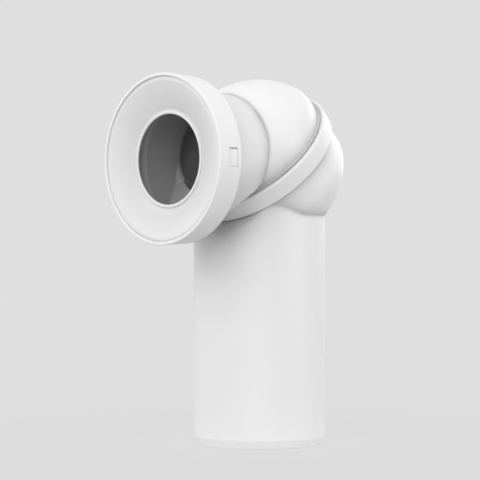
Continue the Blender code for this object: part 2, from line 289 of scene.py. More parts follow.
# Light of the world, and lamps as (place, size, power) that face a place at a share of the joint's
# height
WORLD_LIGHT = 0.82
AIM_SHARE = 0.75
LAMPS = {
    "high_left": ((-0.4, -1.6, 1.3), 1.2, 6.7),
    "side_front": ((0.9, -2.0, 0.9), 1.2, 9.0),
    "front": ((1.6, -1.7, 0.3), 1.4, 7.0),
    "right": ((1.9, 0.9, 0.6), 1.2, 8.8),
    "rim_right": ((-0.38, 1.40, 0.6), 0.8, 3.0),
    "rim_wide": ((0.27, 1.42, 0.7), 0.8, 2.3),
    "rim_left": ((-1.41, -0.29, 0.7), 0.8, 2.7),
}


# Profiles and grids

def rounded(corners, closed):
    """Points of a profile whose corners are arcs, with a mask that is 1 on the arcs.

    Each corner is (radius, along, fillet). Its arc is tangent to both sides: the tangent points lie
    fillet / tan(half angle) from the corner, and the arc is the spherical blend of the two radii.
    A support point just outside each arc keeps the straight sides flat in the shading.
    """
    table = np.array(corners)
    places = table[:, :2]
    before = np.roll(places, 1, axis=0) - places
    after = np.roll(places, -1, axis=0) - places
    if not closed:
        before, after = before[1:-1], after[1:-1]
    middle = table if closed else table[1:-1]
    length_before = np.linalg.norm(before, axis=1, keepdims=True)
    length_after = np.linalg.norm(after, axis=1, keepdims=True)
    before = before / length_before
    after = after / length_after
    half = np.arccos(np.clip((before * after).sum(axis=1), -1.0, 1.0))[:, None] / 2
    fillet = middle[:, 2:3]
    cut = fillet / np.tan(half)
    start = middle[:, :2] + before * cut
    end = middle[:, :2] + after * cut
    bisector = before + after
    bisector = bisector / np.linalg.norm(bisector, axis=1, keepdims=True)
    centre = middle[:, :2] + bisector * fillet / np.sin(half)
    sweep = (math.pi - 2 * half)[:, :, None]
    share = np.linspace(0.0, 1.0, FILLET_STEPS + 1)[None, :, None]
    first = (start - centre)[:, None, :]
    second = (end - centre)[:, None, :]
    arcs = (np.sin((1 - share) * sweep) * first + np.sin(share * sweep) * second) / np.sin(sweep)
    arcs = arcs + centre[:, None, :]
    spare_before = np.clip((length_before - cut) * SUPPORT_SHARE, 0.0, SUPPORT)
    spare_after = np.clip((length_after - cut) * SUPPORT_SHARE, 0.0, SUPPORT)
    lead = (start + before * spare_before)[:, None, :]
    trail = (end + after * spare_after)[:, None, :]
    points = np.concatenate((lead, arcs, trail), axis=1)
    mask = np.zeros(points.shape[:2])
    mask[:, 1:-1] = 1.0
    points, mask = points.reshape(-1, 2), mask.ravel()
    if not closed:
        points = np.concatenate((places[:1], points, places[-1:]))
        mask = np.concatenate(((0.0,), mask, (0.0,)))
    return points, mask


def wrapped_quads(rows, columns):
    """Quads between neighbours on a grid that closes in both directions."""
    index = np.arange(rows * columns).reshape(rows, columns)
    right = np.roll(index, -1, axis=1)
    below = np.roll(index, -1, axis=0)
    return np.stack((index, right, np.roll(below, -1, axis=1), below), axis=-1)


def turned(profile, axis, side, angles):
    """Carry a profile round an axis: centre + radius (cos a ACROSS + sin a side) + along axis."""
    radial = np.cos(angles)[..., None] * ACROSS + np.sin(angles)[..., None] * side
    return CENTRE + profile[:, 0, None, None] * radial + profile[:, 1, None, None] * axis


def even_angles(columns=COLUMNS):
    """Angles of the columns of a turned piece, one row that serves every point of the profile."""
    return np.linspace(0.0, 2 * math.pi, columns, endpoint=False)[None, :]


def add_piece(name, points, quads, masks, node, body, material):
    """A piece from a grid of points. The sign of its volume says whether its faces are turned over."""
    points = points.reshape(-1, 3)
    quads = quads.reshape(-1, 4)
    a, b, c, d = (points[quads[:, corner]] - CENTRE for corner in range(4))
    volume = (np.cross(a, b) * c).sum() + (np.cross(a, c) * d).sum()
    if volume < 0.0:
        quads = quads[:, ::-1]
    mesh = bpy.data.meshes.new(name)
    mesh.from_pydata(points.tolist(), [], quads.tolist())
    for mask_name, values in masks.items():
        attribute = mesh.attributes.new(mask_name, "FLOAT", "POINT")
        attribute.data.foreach_set("value", np.ascontiguousarray(values.ravel(), dtype=np.float32))
    mesh.shade_smooth()
    mesh.set_sharp_from_angle(angle=SHARP_ANGLE)
    mesh.materials.append(material)
    piece = bpy.data.objects.new(name, mesh)
    bpy.context.scene.collection.objects.link(piece)
    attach(piece, body)
    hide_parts(node)


def turned_piece(name, corners, axis, side, node, body, material, inner=(), dusty=(), painted_shade_share=0.0):
    """A closed profile of rounded corners carried once round an axis.

    inner holds the corners of its bore, and the second list of corners those that take a share of
    painted shade, a darkening where shadow falls.
    """
    profile, edge = rounded(corners, True)
    points = turned(profile, axis, side, even_angles())
    share = len(profile) // len(corners) * COLUMNS
    bore = np.repeat([corner in inner for corner in corners], share)
    dust = np.repeat([painted_shade_share * (corner in dusty) for corner in corners], share)
    masks = {"edge": np.repeat(edge, COLUMNS), "bore": bore, "dust": dust}
    add_piece(name, points, wrapped_quads(len(profile), COLUMNS), masks, node, body, material)


# Bend halves, in local places (across, short, out): out runs down the half's own tube, and short
# points to the side where that tube is shortest. Along is (short - out) / root 2 and grows towards
# the other half.

def ball_radius(along, ball, middle, waist, fillet, squash):
    """Radius, at a place along the axis, of a straight waist that rolls over a fillet into a ball.

    The ball is squashed along the axis about its middle, so places are stretched back first.
    """
    along = middle + (along - middle) / squash
    reach = math.sqrt((ball - fillet) ** 2 - (waist - fillet) ** 2)
    knee = middle - reach
    foot = middle - ball * reach / (ball - fillet)
    on_fillet = waist - fillet + np.sqrt(np.maximum(fillet ** 2 - (along - knee) ** 2, 0.0))
    on_ball = np.sqrt(np.maximum(ball ** 2 - (along - middle) ** 2, 0.0))
    return np.where(along > knee, waist, np.where(along > foot, on_fillet, on_ball))


def ball_reach(turn, out, ball):
    """Distance from the tube's axis to the ball at an angle and a place along the tube, by halving."""
    low = np.zeros(np.broadcast(turn, out).shape)
    high = np.full_like(low, 2 * ball[0])
    for _ in range(BISECTIONS):
        middle = (low + high) / 2
        short = middle * np.sin(turn)
        spread = np.hypot(middle * np.cos(turn), (short + out) / ROOT2)
        inside = spread < ball_radius((short - out) / ROOT2, *ball)
        low = np.where(inside, middle, low)
        high = np.where(inside, high, middle)
    return low


def tube_limit(turn, out, ball, flare):
    """Distance from the tube's axis within which the ball hides the tube.

    It is the ball's own distance, or, where the tube's lower end is trimmed, that of a sphere which
    grows by flare times the square of the angle below a start above the tube's side, up to a span.
    """
    if not flare:
        return ball_reach(turn, out, ball)
    below = np.clip(np.arcsin(np.sin(turn)) + NECK_FLARE_START, 0.0, NECK_FLARE_SPAN)
    return np.sqrt(np.maximum((ball[0] + flare * below ** 2) ** 2 - out ** 2, 0.0))


def skin_radius(turn, out, tube, crease, ball, flare):
    """Distance from the tube's axis to the skin at an angle and a place along the tube.

    The skin is the tube or the ball, whichever the limit shows, blended over the crease: with g the
    clipped share of the ball, tube + (ball - tube) g + crease g (1 - g). Behind the joint centre the
    tube has ended, so there the share is 1.
    """
    gap = tube_limit(turn, out, ball, flare) - tube
    share = np.where(out < 0.0, 1.0, np.clip(0.5 + gap / (2 * crease), 0.0, 1.0))
    return tube + (ball_reach(turn, out, ball) - tube) * share + crease * share * (1 - share)


def skin_end(turn, plane, tube, crease, ball, flare):
    """Place along the tube where the skin meets a plane square to the swivel axis, by halving."""
    low = np.full_like(turn, -ball[0])
    high = np.full_like(turn, 2 * ball[0])
    for _ in range(BISECTIONS):
        middle = (low + high) / 2
        radius = skin_radius(turn, middle, tube, crease, ball, flare)
        beyond = (radius * np.sin(turn) - middle) / ROOT2 > plane
        low = np.where(beyond, middle, low)
        high = np.where(beyond, high, middle)
    return high


def skin_rows(turn, start, plane, tube, crease, ball, flare, rib):
    """Rows of (across, short, out) from a ring on the tube to the joint plane, and their end angles.

    A rib of trapezoid section narrows the tube at the throat's places.
    """
    end = skin_end(turn, plane, tube, crease, ball, flare)
    far = np.linspace(0.0, 1.0, SKIN_ROWS - ROLL_ROWS)[:, None]
    near = np.linspace(1.0, 0.0, ROLL_ROWS + 1)[1:, None]
    out = np.concatenate((start + (end + ROLL_LENGTH - start) * far, end + ROLL_LENGTH * near))
    radius = skin_radius(turn, out, tube, crease, ball, flare)
    radius = radius - rib * np.interp(out, THROAT_RIB_PLACE, (0.0, 1.0, 1.0, 0.0))
    rows = np.stack((radius * np.cos(turn), radius * np.sin(turn), out), axis=-1)
    last = rows[-1]
    swing = np.unwrap(np.arctan2((last[:, 1] + last[:, 2]) / ROOT2, last[:, 0]))
    return rows, swing


def rolled_edge(rows, beyond):
    """Skin rows whose last stretch rolls over the joint plane's edge.

    With a the skin before the edge, e the edge and b a place on the flat, at most half way to the next
    row, the stretch is (1 - t)^2 a + 2 t (1 - t) e + t^2 b.
    """
    skin = rows[-ROLL_ROWS - 1]
    edge = rows[-1]
    way = beyond - edge
    length = np.maximum(np.linalg.norm(way, axis=-1, keepdims=True), SUPPORT)
    flat = edge + way * np.minimum(ROLL_LENGTH / length, 0.5)
    share = np.linspace(0.0, 1.0, ROLL_ROWS + 1)[1:, None, None]
    curve = (1 - share) ** 2 * skin + 2 * share * (1 - share) * edge + share ** 2 * flat
    return np.concatenate((rows[:-ROLL_ROWS], curve))


def crevice_painted_shade(rows, turn, start, skin, spread):
    """Painted shade on an outer skin, a darkening where shadow falls: 1 in each crevice and falling off
    as exp(-distance / spread).

    The crevices are the crease between tube and ball, the collar's edge, from which it spreads twice as
    far on the tube, and the step at the tube's tip.
    """
    _, tube, _, ball, flare, _ = skin
    on_tube, on_ball, from_collar, tip_share, collar_edge = spread
    out = rows[..., 2]
    gap = np.where(out < 0.0, ball[0], tube_limit(turn, out, ball, flare) - tube)
    crease = np.exp(np.where(gap > 0.0, -gap / on_ball, gap / on_tube))
    reach = np.where(gap > 0.0, from_collar, 2 * from_collar)
    amount = np.where(gap > 0.0, 1.0, TUBE_PAINTED_SHADE)
    collar_side = amount * np.exp(-np.maximum(collar_edge - (rows[..., 1] - out) / ROOT2, 0.0) / reach)
    tip_side = np.where(gap > 0.0, 0.0, tip_share * np.exp(-(start - out) / NECK_SHADE_REACH))
    return 1.0 - (1.0 - crease) * (1.0 - collar_side) * (1.0 - tip_side)


def tube_rows(profile, turn):
    """Rows of (across, short, out) for a profile of (radius, out) points round the tube's axis."""
    radius = profile[:, 0, None]
    out = np.broadcast_to(profile[:, 1, None], (len(profile), len(turn)))
    return np.stack((radius * np.cos(turn), radius * np.sin(turn), out), axis=-1)


def joint_rows(profile, swing_from, swing_to):
    """Rows of (across, short, out) for a profile of (radius, along) points round the swivel axis.

    The columns' angle goes evenly from the outer skin's end angle to the inner skin's.
    """
    share = np.linspace(0.0, 1.0, len(profile))[:, None]
    swing = swing_from + (swing_to - swing_from) * share
    across = profile[:, 0, None] * np.cos(swing)
    rise = profile[:, 0, None] * np.sin(swing)
    along = profile[:, 1, None]
    return np.stack((across, (rise + along) / ROOT2, (rise - along) / ROOT2), axis=-1)


def bend_moulding(tip, joint_corners, start, outer, inner, spread, out_direction, short_direction,
                  rolled):
    """Closed grid of a bend half: tip profile, outer skin, joint profile and inner skin in turn.

    outer and inner are (plane, tube radius, crease, ball, flare, rib) of the two skins. World place is
    centre + across ACROSS + short SHORT + out OUT. A rolled half's outer skin rolls over at the joint
    plane.
    """
    turn = np.linspace(0.0, 2 * math.pi, COLUMNS, endpoint=False)
    tip_profile, tip_edge = rounded(tip, False)
    joint_profile, joint_edge = rounded(joint_corners, False)
    outside, swing_out = skin_rows(turn, start, *outer)
    inside, swing_in = skin_rows(turn, start, *inner)
    joint_part = joint_rows(joint_profile, swing_out, swing_in)
    if rolled:
        outside = rolled_edge(outside, joint_part[0])
    rows = np.concatenate((tube_rows(tip_profile, turn), outside, joint_part, inside[::-1]))
    plain = np.zeros(SKIN_ROWS)
    edge = np.concatenate((tip_edge, plain, joint_edge, plain))
    tip_bore = np.arange(len(tip_profile)) < tip_profile[:, 1].argmax()
    joint_bore = np.arange(len(joint_profile)) > joint_profile[:, 1].argmax()
    bore = np.concatenate((tip_bore, plain, joint_bore, plain + 1.0))
    # Painted shade: the outer skin darkens in its crevices, and the joint's outer rows below the collar,
    # where shadow falls
    dust = np.zeros(rows.shape[:2])
    first = len(tip_profile)
    last = first + SKIN_ROWS
    dust[first:last] = crevice_painted_shade(outside, turn, start, outer, spread)
    _, _, from_collar, _, collar_edge = spread
    below_collar = np.exp(-np.maximum(collar_edge - joint_profile[:, 1], 0.0) / from_collar)
    dust[last:last + len(joint_profile)] = (below_collar * ~joint_bore)[:, None]
    across, short, out = rows[..., :1], rows[..., 1:2], rows[..., 2:]
    world = CENTRE + across * ACROSS + short * short_direction + out * out_direction
    masks = {"edge": np.repeat(edge, COLUMNS), "bore": np.repeat(bore, COLUMNS), "dust": dust}
    return world, wrapped_quads(len(rows), COLUMNS), masks


def outlet_moulding(material):
    """Spigot pipe that swells into the lower ball half, with the swivel socket on top."""
    start = OUTLET_BALL[0] + PIPE_RADIUS / 2
    chamfer_radius = PIPE_RADIUS - CHAMFER_DEPTH
    tip = [
        (PIPE_BORE, start + SUPPORT, 0.0), (PIPE_BORE, PIPE_END, SOFT),
        (chamfer_radius, PIPE_END, SLIGHT), (PIPE_RADIUS, PIPE_END - CHAMFER_LENGTH, CHAMFER_BLEND),
        (PIPE_RADIUS, start + SUPPORT, 0.0),
    ]
    bead = SOCKET_OUTER + SNAP_BEAD
    low, high = SNAP_BEAD_PLACE
    socket = [
        (SOCKET_OUTER, OUTLET_FLOOR + SUPPORT, 0.0), (SOCKET_OUTER, low, HAIR), (bead, low, SLIGHT),
        (bead, high, SLIGHT), (SOCKET_OUTER, high, HAIR), (SOCKET_OUTER, SOCKET_TOP, SOFT),
        (SOCKET_BORE, SOCKET_TOP, FULL), (SOCKET_BORE, OUTLET_LEDGE + SUPPORT, 0.0),
    ]
    outer = (OUTLET_FLOOR, PIPE_RADIUS, OUTLET_CREASE, OUTLET_BALL, 0.0, 0.0)
    inner = (OUTLET_LEDGE, PIPE_BORE, OUTLET_CREASE, OUTLET_CHAMBER, 0.0, 0.0)
    grid = bend_moulding(tip, socket, start, outer, inner, OUTLET_SHADE_SPREAD, DOWN, FORWARD, True)
    add_piece("outlet_moulding", *grid, "outlet_bend", "outlet", material)


def inlet_moulding(material):
    """Dome half with its flanged spigot at the joint and the neck and seal cup in front."""
    start = (NECK_RADIUS - ROOT2 * INLET_LEDGE + CUP_REAR) / 2
    neck_bore = NECK_RADIUS - WALL
    floor = CUP_REAR + CUP_FLOOR
    tip = [
        (neck_bore, start + SUPPORT, 0.0), (neck_bore, floor, FULL), (CUP_BORE, floor, SOFT),
        (CUP_BORE, CUP_FRONT, PLAIN), (CUP_RADIUS, CUP_FRONT, PLAIN), (CUP_RADIUS, CUP_REAR, SOFT),
        (NECK_RADIUS, CUP_REAR, FINE), (NECK_RADIUS, start + SUPPORT, 0.0),
    ]
    bead = WAIST + STOP_BEAD
    low, high = STOP_BEAD_PLACE
    spigot = [
        (WAIST, INLET_FLOOR + SUPPORT, 0.0), (WAIST, -high, FINE), (bead, -high, PLAIN),
        (bead, -low, PLAIN), (WAIST, -low, FINE),
        (WAIST, -FLANGE_TOP, SLIGHT), (FLANGE_RADIUS, -FLANGE_TOP, SLIGHT),
        (FLANGE_RADIUS, -FLANGE_BASE, SLIGHT), (SPIGOT_RADIUS, -FLANGE_BASE, SLIGHT),
        (SPIGOT_RADIUS, -GROOVE_TOP, FINE), (GROOVE_FLOOR, -GROOVE_TOP, SLIGHT),
        (GROOVE_FLOOR, -GROOVE_BASE, SLIGHT), (SPIGOT_RADIUS, -GROOVE_BASE, FINE),
        (SPIGOT_RADIUS, -SPIGOT_END, SPIGOT_NOSE), (SPIGOT_BORE, -SPIGOT_END, SPIGOT_MOUTH),
        (SPIGOT_BORE, -CONE_FOOT, CONE_BLEND), (INLET_CHAMBER[2], INLET_LEDGE + SUPPORT, 0.0),
    ]
    outer = (INLET_FLOOR, NECK_RADIUS, INLET_CREASE, INLET_BALL, NECK_FLARE, 0.0)
    inner = (INLET_LEDGE, neck_bore, THROAT_CREASE, INLET_CHAMBER, NECK_FLARE, THROAT_RIB)
    grid = bend_moulding(tip, spigot, start, outer, inner, INLET_SHADE_SPREAD, FORWARD, DOWN, False)
    add_piece("inlet_moulding", *grid, "inlet_bend", "inlet", material)


# Rings and seals

def collar_band(material):
    """Band round the slanted joint: a drafted wall, a round top edge, a sunk lip and a snap groove."""
    rim_inner = COLLAR_HEAD - COLLAR_RIM
    groove = COLLAR_BORE + SNAP_BEAD
    low, high = SNAP_BEAD_PLACE
    corners = [
        (COLLAR_HEAD, COLLAR_TOP, COLLAR_ROUND), (COLLAR_FOOT, COLLAR_BASE, SOFT),
        (COLLAR_BORE, COLLAR_BASE, SLIGHT), (COLLAR_BORE, low - SEAT_GAP, FINE),
        (groove, low - SEAT_GAP, FINE), (groove, high + SEAT_GAP, FINE),
        (COLLAR_BORE, high + SEAT_GAP, FINE), (COLLAR_BORE, LIP_BASE, SLIGHT),
        (LIP_BORE, LIP_BASE, FINE), (LIP_BORE, LIP_TOP, FINE),
        (rim_inner, LIP_TOP, SLIGHT), (rim_inner, COLLAR_TOP, PLAIN),
    ]
    turned_piece("collar_band", corners, SWIVEL, SLOPE, "swivel_collar", "outlet", material)


def joint_ring(material):
    """Rubber ring of almost round section in the spigot's groove."""
    middle = (GROOVE_TOP + GROOVE_BASE) / 2
    half = SEAL_SECTION / 2
    bend = SEAL_ROUNDNESS * half
    inner = SEAL_RING_RADIUS - half
    outer = SEAL_RING_RADIUS + half
    corners = [
        (outer, middle + half, bend), (outer, middle - half, bend),
        (inner, middle - half, bend), (inner, middle + half, bend),
    ]
    turned_piece("joint_ring", corners, SWIVEL, SLOPE, "swivel_seal", "inlet", material)


def soft_seal(material):
    """Dished seal: a flat rim, a sloped face, a shallow valley and a round bead on the mouth's lip."""
    rib_front = RING_FRONT - RIM_DEPTH
    flange_front = rib_front - RIB_WIDTH - SEAT_GAP
    flange_rear = flange_front - SEAL_FLANGE
    face_edge = RING_RADIUS - RING_DRAFT - RING_WALL - RIB_DEPTH - SEAT_GAP
    face_high = rib_front + SEAT_GAP
    rim_edge = RING_RADIUS - RING_RIM - RIM_TOUCH
    rim_step = SEAL_FRONT - SEAL_RIM_STEP
    outer = RING_RADIUS - RING_RIM - SEAL_RIM_GAP
    mouth = SEAL_FRONT - DISH_DEPTH
    valley = mouth - VALLEY_DEPTH
    lip_back = valley - LIP_WALL
    bead_edge = MOUTH_RADIUS + 2 * LIP_BEAD
    bead_top = mouth + LIP_BEAD / 2
    foot = bead_edge + VALLEY_WIDTH
    heel_outer = CUP_BORE - SEAT_GAP
    heel_inner = heel_outer - HEEL_WALL
    heel_end = CUP_FRONT - HEEL_LENGTH
    rim_and_heel = [
        (outer, SEAL_FRONT, SOFT), (outer, rim_step, SLIGHT), (rim_edge, rim_step, HAIR),
        (rim_edge, face_high, FINE), (face_edge, face_high, SLIGHT), (face_edge, flange_front, FINE),
        (CUP_RADIUS, flange_front, SLIGHT), (CUP_RADIUS, flange_rear, SLIGHT),
        (heel_outer, flange_rear, SLIGHT), (heel_outer, heel_end, FULL),
    ]
    throat = [
        (heel_inner, heel_end, FULL), (heel_inner, flange_rear, HEEL_ROOT),
        (foot, lip_back, VALLEY_BLEND), (bead_edge, lip_back, LIP_BACK_ROUND),
        (MOUTH_RADIUS, mouth - LIP_BEAD, BEAD_UNDERSIDE),
    ]
    bead = [(MOUTH_RADIUS, bead_top, BEAD_ROUND), (bead_edge, bead_top, BEAD_ROUND)]
    hollow = [(bead_edge + BEAD_FOOT, valley, FULL), (foot, valley + VALLEY_SLOPE, VALLEY_BLEND)]
    face = [(outer - SEAL_FLAT, SEAL_FRONT, FULL)]
    corners = rim_and_heel + throat + bead + hollow + face
    # Painted shade darkens the seal's valley, a share of it on the hollow's corners
    turned_piece("soft_seal", corners, FORWARD, -DOWN, "lip_seal", "inlet", material,
                 inner=throat, dusty=hollow, painted_shade_share=VALLEY_PAINTED_SHADE)


def window_angles(radius):
    """Angles of the columns at each radius, so that every window has parallel sides.

    Each sector has a window share, where the column's sideways place is even, and a plain share, where
    its angle is even from the window's edge to the next window's edge.
    """
    half_width = WINDOW_WIDTH / 2
    inside = np.linspace(-1.0, 1.0, WINDOW_COLUMNS + 1)
    edge = np.arcsin(half_width / radius)[:, None]
    across = np.arcsin(inside[None, :] * half_width / radius[:, None])
    sector = 2 * math.pi / WINDOW_COUNT
    share = np.linspace(0.0, 1.0, PLAIN_COLUMNS + 1)[None, 1:-1]
    plain = edge + (sector - 2 * edge) * share
    one = np.concatenate((across, plain), axis=1)
    return np.concatenate([one + sector * index for index in range(WINDOW_COUNT)], axis=1)


def clamp_shell(material):
    """Ring over the seal cup: a drafted skirt, a square rim, an inner rib, and a window for each lug.

    The grid's two long strips, outside and inside the skirt, are open in the windows, and four walls
    join the strips round each opening.
    """
    rear_radius = RING_RADIUS - RING_DRAFT
    bore = rear_radius - RING_WALL
    rib_front = RING_FRONT - RIM_DEPTH
    rib_rear = rib_front - RIB_WIDTH
    rim_bore = RING_RADIUS - RING_RIM
    low = RING_REAR + WINDOW_MARGIN
    high = low + WINDOW_LENGTH
    slope = RING_DRAFT / (RING_FRONT - RING_REAR)
    front_chain = [
        (rear_radius + slope * (high - RING_REAR), high, 0.0), (RING_RADIUS, RING_FRONT, RING_ROUND),
        (rim_bore, RING_FRONT, PLAIN), (rim_bore, rib_front, SLIGHT),
        (bore - RIB_DEPTH, rib_front, SLIGHT), (bore - RIB_DEPTH, rib_rear, SLIGHT),
        (bore, rib_rear, PLAIN), (bore, high, 0.0),
    ]
    rear_chain = [
        (bore, low, 0.0), (bore, RING_TAIL, PLAIN), (rear_radius, RING_TAIL, RING_ROUND),
        (rear_radius + slope * (low - RING_REAR), low, 0.0),
    ]
    front, front_edge = rounded(front_chain, False)
    rear, rear_edge = rounded(rear_chain, False)
    profile = np.concatenate((front, rear))
    edge = np.concatenate((front_edge, rear_edge))
    angles = window_angles(profile[:, 0])
    columns = angles.shape[1]
    points = turned(profile, FORWARD, -DOWN, angles)
    quads = wrapped_quads(len(profile), columns)
    sector = columns // WINDOW_COUNT
    is_open = np.arange(columns) % sector < WINDOW_COLUMNS
    inner_strip = len(front) - 1
    outer_strip = len(profile) - 1
    kept = np.ones(quads.shape[:2], dtype=bool)
    kept[inner_strip, is_open] = False
    kept[outer_strip, is_open] = False
    index = np.arange(len(profile) * columns).reshape(len(profile), columns)
    high_outer, high_inner = index[0], index[inner_strip]
    low_inner, low_outer = index[inner_strip + 1], index[outer_strip]
    here = np.flatnonzero(is_open)
    there = here + 1
    left = np.arange(WINDOW_COUNT) * sector
    right = left + WINDOW_COLUMNS
    walls = (
        (high_outer[there], high_outer[here], high_inner[here], high_inner[there]),
        (low_outer[here], low_outer[there], low_inner[there], low_inner[here]),
        (high_outer[left], low_outer[left], low_inner[left], high_inner[left]),
        (low_outer[right], high_outer[right], high_inner[right], low_inner[right]),
    )
    faces = np.concatenate((quads[kept], *(np.stack(wall, axis=-1) for wall in walls)))
    plain = np.zeros(len(profile) * columns)
    masks = {"edge": np.repeat(edge, columns), "bore": plain, "dust": plain}
    add_piece("clamp_shell", points, faces, masks, "clamp_ring", "inlet", material)


def snap_lugs(material):
    """Wedges in the windows: a rounded side outline of (radius, reach) carried across each window.

    The outline draws in towards both ends by a quarter circle, which rounds the lug's long edges, and
    closes on a line inside the wedge, half as long.
    """
    rear = RING_REAR + WINDOW_MARGIN + LUG_TOUCH
    front = RING_REAR + WINDOW_MARGIN + WINDOW_LENGTH - LUG_GAP
    crest = RING_RADIUS - RING_DRAFT - LUG_SINK
    root = (CUP_RADIUS + CUP_BORE) / 2
    foot_side = LUG_FOOT + LUG_EDGE - WINDOW_WIDTH / 2
    slot_side = WINDOW_WIDTH / 2 - LUG_SLOT - LUG_EDGE
    corners = [
        (crest, rear, SLIGHT), (root, rear, FINE), (root, front, FINE), (crest - LUG_RAMP, front, SOFT),
    ]
    outline, edge = rounded(corners, True)
    middle = outline.mean(axis=0)
    quarter = np.linspace(0.0, math.pi / 2, FILLET_STEPS + 1)
    ends = LUG_EDGE * np.sin(quarter)
    shrink = LUG_EDGE * (1.0 - np.cos(quarter))
    side = np.concatenate((foot_side - ends[::-1], slot_side + ends))
    inset = np.concatenate((shrink[::-1], shrink))
    reach = np.linalg.norm(outline - middle, axis=1)
    loops = middle + (outline - middle) * (1.0 - inset[:, None, None] / reach[None, :, None])
    halved = np.array((0.0, 0.5))
    caps = middle + (outline - middle) * halved
    loops = np.concatenate((caps[None], loops, caps[None]))
    side = np.concatenate((side[:1], side, side[-1:]))
    across = np.broadcast_to(side[:, None], loops.shape[:2])
    radius = np.sqrt(np.maximum(loops[..., 0] ** 2 - across ** 2, 0.0))
    turns = 2 * math.pi * np.arange(WINDOW_COUNT) / WINDOW_COUNT
    radial = np.cos(turns)[:, None] * ACROSS - np.sin(turns)[:, None] * DOWN
    tangent = -np.sin(turns)[:, None] * ACROSS - np.cos(turns)[:, None] * DOWN
    points = (CENTRE + radius[None, ..., None] * radial[:, None, None, :]
              + across[None, ..., None] * tangent[:, None, None, :] + loops[None, ..., 1:] * FORWARD)
    rows, columns = loops.shape[:2]
    one = wrapped_quads(rows, columns)[:-1]
    offsets = np.arange(WINDOW_COUNT)[:, None, None, None] * rows * columns
    quads = one[None] + offsets
    plain = np.zeros(WINDOW_COUNT * rows * columns)
    masks = {"edge": np.tile(edge, WINDOW_COUNT * rows), "bore": plain, "dust": plain}
    add_piece("snap_lugs", points, quads, masks, "inlet_bend", "inlet", material)


# Finishes

def opaque_grey(shade):
    """A node's colour of one grey."""
    return shade, shade, shade, 1.0


def group_sockets(group, direction, kind, names):
    """Named sockets of one kind on a node group."""
    for name in names:
        group.interface.new_socket(name, in_out=direction, socket_type=kind)


def link_noise(group, coordinates, scale, detail, stretch=None):
    """A noise texture on object coordinates, stretched if asked. Returns its value socket."""
    nodes, links = group.nodes, group.links
    noise = nodes.new("ShaderNodeTexNoise")
    noise.inputs["Detail"].default_value = detail
    if stretch:
        mapping = nodes.new("ShaderNodeMapping")
        mapping.inputs["Scale"].default_value = stretch
        links.new(coordinates, mapping.inputs["Vector"])
        links.new(mapping.outputs["Vector"], noise.inputs["Vector"])
    else:
        links.new(coordinates, noise.inputs["Vector"])
    if isinstance(scale, float):
        noise.inputs["Scale"].default_value = scale
    else:
        links.new(scale, noise.inputs["Scale"])
    return noise.outputs["Fac"]


def link_math(group, operation, first, second):
    """A math node on two sockets or numbers. Returns its value socket."""
    node = group.nodes.new("ShaderNodeMath")
    node.operation = operation
    for place, value in enumerate((first, second)):
        if isinstance(value, float):
            node.inputs[place].default_value = value
        else:
            group.links.new(value, node.inputs[place])
    return node.outputs["Value"]


def link_mix(group, share, first, second):
    """A colour mix. Returns its colour socket."""
    node = group.nodes.new("ShaderNodeMix")
    node.data_type = "RGBA"
    group.links.new(share, node.inputs["Factor"])
    group.links.new(first, node.inputs["A"])
    group.links.new(second, node.inputs["B"])
    return node.outputs["Result"]


def moulded_surface():
    """Shared finish: mottle, rubbed edges, a bore and crevices darkened by painted shade, grain and draw
    lines.
    """
    group = bpy.data.node_groups.new("moulded_surface", "ShaderNodeTree")
    colours = ("Colour", "Mottle Colour", "Worn Colour", "Bore Colour", "Dust Colour")
    numbers = ("Edge", "Bore", "Dust", "Grain Scale", "Roughness", "Roughness Swing", "Draw Lines")
    group_sockets(group, "INPUT", "NodeSocketColor", colours)
    group_sockets(group, "INPUT", "NodeSocketFloat", numbers)
    group_sockets(group, "OUTPUT", "NodeSocketColor", ("Colour",))
    group_sockets(group, "OUTPUT", "NodeSocketFloat", ("Roughness", "Height"))
    entry = group.nodes.new("NodeGroupInput").outputs
    leave = group.nodes.new("NodeGroupOutput").inputs
    place = group.nodes.new("ShaderNodeTexCoord").outputs["Object"]
    mottle = link_noise(group, place, *MOTTLE)
    grain = link_noise(group, place, entry["Grain Scale"], GRAIN_DETAIL)
    lines = link_noise(group, place, *DRAW_LINES)
    scuffs = link_noise(group, place, *SCUFFS)
    rubbed = link_math(group, "MULTIPLY", entry["Edge"], scuffs)
    tint = link_mix(group, mottle, entry["Colour"], entry["Mottle Colour"])
    tint = link_mix(group, rubbed, tint, entry["Worn Colour"])
    # Painted shade: the crevice mask, broken up by the mottle, darkens the colour where shadow falls
    patchy = link_math(group, "ADD", mottle, NOISE_MEAN)
    dusty = link_math(group, "MULTIPLY", entry["Dust"], patchy)
    tint = link_mix(group, dusty, tint, entry["Dust Colour"])
    # Painted shade: the bore mask mixes in the bore's darker grey
    tint = link_mix(group, entry["Bore"], tint, entry["Bore Colour"])
    group.links.new(tint, leave["Colour"])
    uneven = link_math(group, "SUBTRACT", scuffs, NOISE_MEAN)
    swing = link_math(group, "MULTIPLY", uneven, entry["Roughness Swing"])
    rough = link_math(group, "ADD", entry["Roughness"], swing)
    rough = link_math(group, "ADD", rough, link_math(group, "MULTIPLY", rubbed, RUBBED_ROUGHNESS))
    group.links.new(rough, leave["Roughness"])
    streaks = link_math(group, "MULTIPLY", lines, entry["Draw Lines"])
    group.links.new(link_math(group, "ADD", grain, streaks), leave["Height"])
    return group


